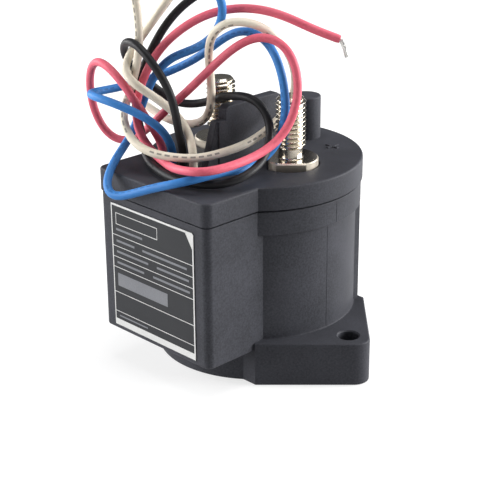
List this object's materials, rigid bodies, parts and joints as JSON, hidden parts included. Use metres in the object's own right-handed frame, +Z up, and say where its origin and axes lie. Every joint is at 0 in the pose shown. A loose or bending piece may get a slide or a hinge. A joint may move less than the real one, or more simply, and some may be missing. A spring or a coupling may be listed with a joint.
{
  "type": "high voltage dc contactor",
  "caption": "Sealed high voltage dc contactor: round drum with a box front, threaded studs parted by a barrier wall, mounting feet, coloured coil leads and a magnet inside that closes a bridge.",
  "frame": {"origin": "on the drum axis at the foot face, midway between the two mounting holes", "axes": "+Z up along the drum axis and the studs, -Y towards the label face, +X along the row of studs and feet"},
  "size_m": [0.0824, 0.0728, 0.1124],
  "materials": {
    "housing_plastic": "fine matte grain",
    "label_film": "printed film",
    "nickel_stud": "nickel plated",
    "seal_rubber": "moulded",
    "chamber_ceramic": "unglazed",
    "magnet_ferrite": "sintered",
    "bridge_copper": "rolled copper",
    "contact_silver": "pressed tip",
    "spring_steel": "drawn wire",
    "turned_steel": "turned",
    "magnet_iron": "zinc plated soft iron",
    "bobbin_plastic": "moulded",
    "winding_copper": "enamelled wire",
    "board_laminate": "printed board",
    "component_black": "moulded",
    "reed_glass": "sealed tube",
    "grommet_rubber": "moulded",
    "insulation_red": "satin insulation",
    "insulation_blue": "satin insulation",
    "insulation_black": "satin insulation",
    "insulation_white": "satin insulation",
    "tinned_copper": "tinned strands"
  },
  "bodies": {
    "base": {"housing": "housing_plastic", "lid": "housing_plastic", "nameplate": "label_film", "terminal_stud_left": "nickel_stud", "terminal_stud_right": "nickel_stud", "stud_seals": "seal_rubber", "arc_chamber": "chamber_ceramic", "chamber_base": "chamber_ceramic", "arc_magnets": "magnet_ferrite", "return_spring": "spring_steel", "fixed_core": "magnet_iron", "guide_sleeve": "turned_steel", "coil_bobbin": "bobbin_plastic", "coil_winding": "winding_copper", "yoke_cup": "magnet_iron", "yoke_plate": "magnet_iron", "control_board": "board_laminate", "board_components": "component_black", "reed_switch": "reed_glass", "lead_grommet": "grommet_rubber", "lead_red": "insulation_red", "lead_blue": "insulation_blue", "lead_black": "insulation_black", "lead_white": "insulation_white", "red_lead_end": "tinned_copper", "blue_lead_end": "tinned_copper", "black_lead_end": "tinned_copper", "white_lead_end": "tinned_copper"},
    "armature": {"plunger": "magnet_iron", "drive_rod": "turned_steel", "spring_seat": "bobbin_plastic", "bridge_clip": "spring_steel", "contact_spring": "spring_steel"},
    "bridge": {"contact_bridge": "bridge_copper", "bridge_contacts": "contact_silver"}
  },
  "joints": [
    {"name": "plunger_slide", "type": "slide", "parent": "base", "child": "armature", "axis": [0, 0, 1], "range_m": [0, 0.002], "stiffness_N_per_m": 800, "springref_m": -0.004, "deforming": ["return_spring"]},
    {"name": "bridge_slide", "type": "slide", "parent": "armature", "child": "bridge", "axis": [0, 0, 1], "range_m": [-0.0005, 0], "deforming": ["contact_spring"]}
  ],
  "couplings": [
    {"joint": "bridge_slide", "follows": "plunger_slide", "ratio": -0.25}
  ]
}
